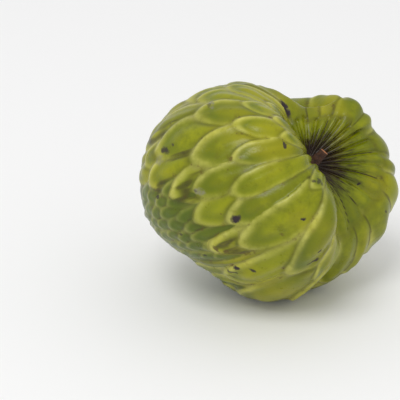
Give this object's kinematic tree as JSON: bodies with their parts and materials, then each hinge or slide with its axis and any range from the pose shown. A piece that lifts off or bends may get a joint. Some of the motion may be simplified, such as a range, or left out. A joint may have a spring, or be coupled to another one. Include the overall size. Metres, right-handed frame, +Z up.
{
  "type": "custard apple",
  "caption": "Whole heart-shaped custard apple lying on its flank, with overlapping scales and a short stalk stub in a deep hollow.",
  "frame": {"origin": "on the ground under the middle of the fruit's outline", "axes": "+Z up from the ground; the stalk end heads toward +X and is tipped up about 34 degrees; +Y to the left of that"},
  "size_m": [0.1052, 0.1026, 0.0985],
  "materials": {
    "skin": "olive green waxy fruit skin with pale raised scale margins and small dark blemishes, satin",
    "stem": "dark brown bark with a pale cut end"
  },
  "bodies": {
    "root": {"fruit": "skin", "stem": "stem"}
  },
  "joints": []
}
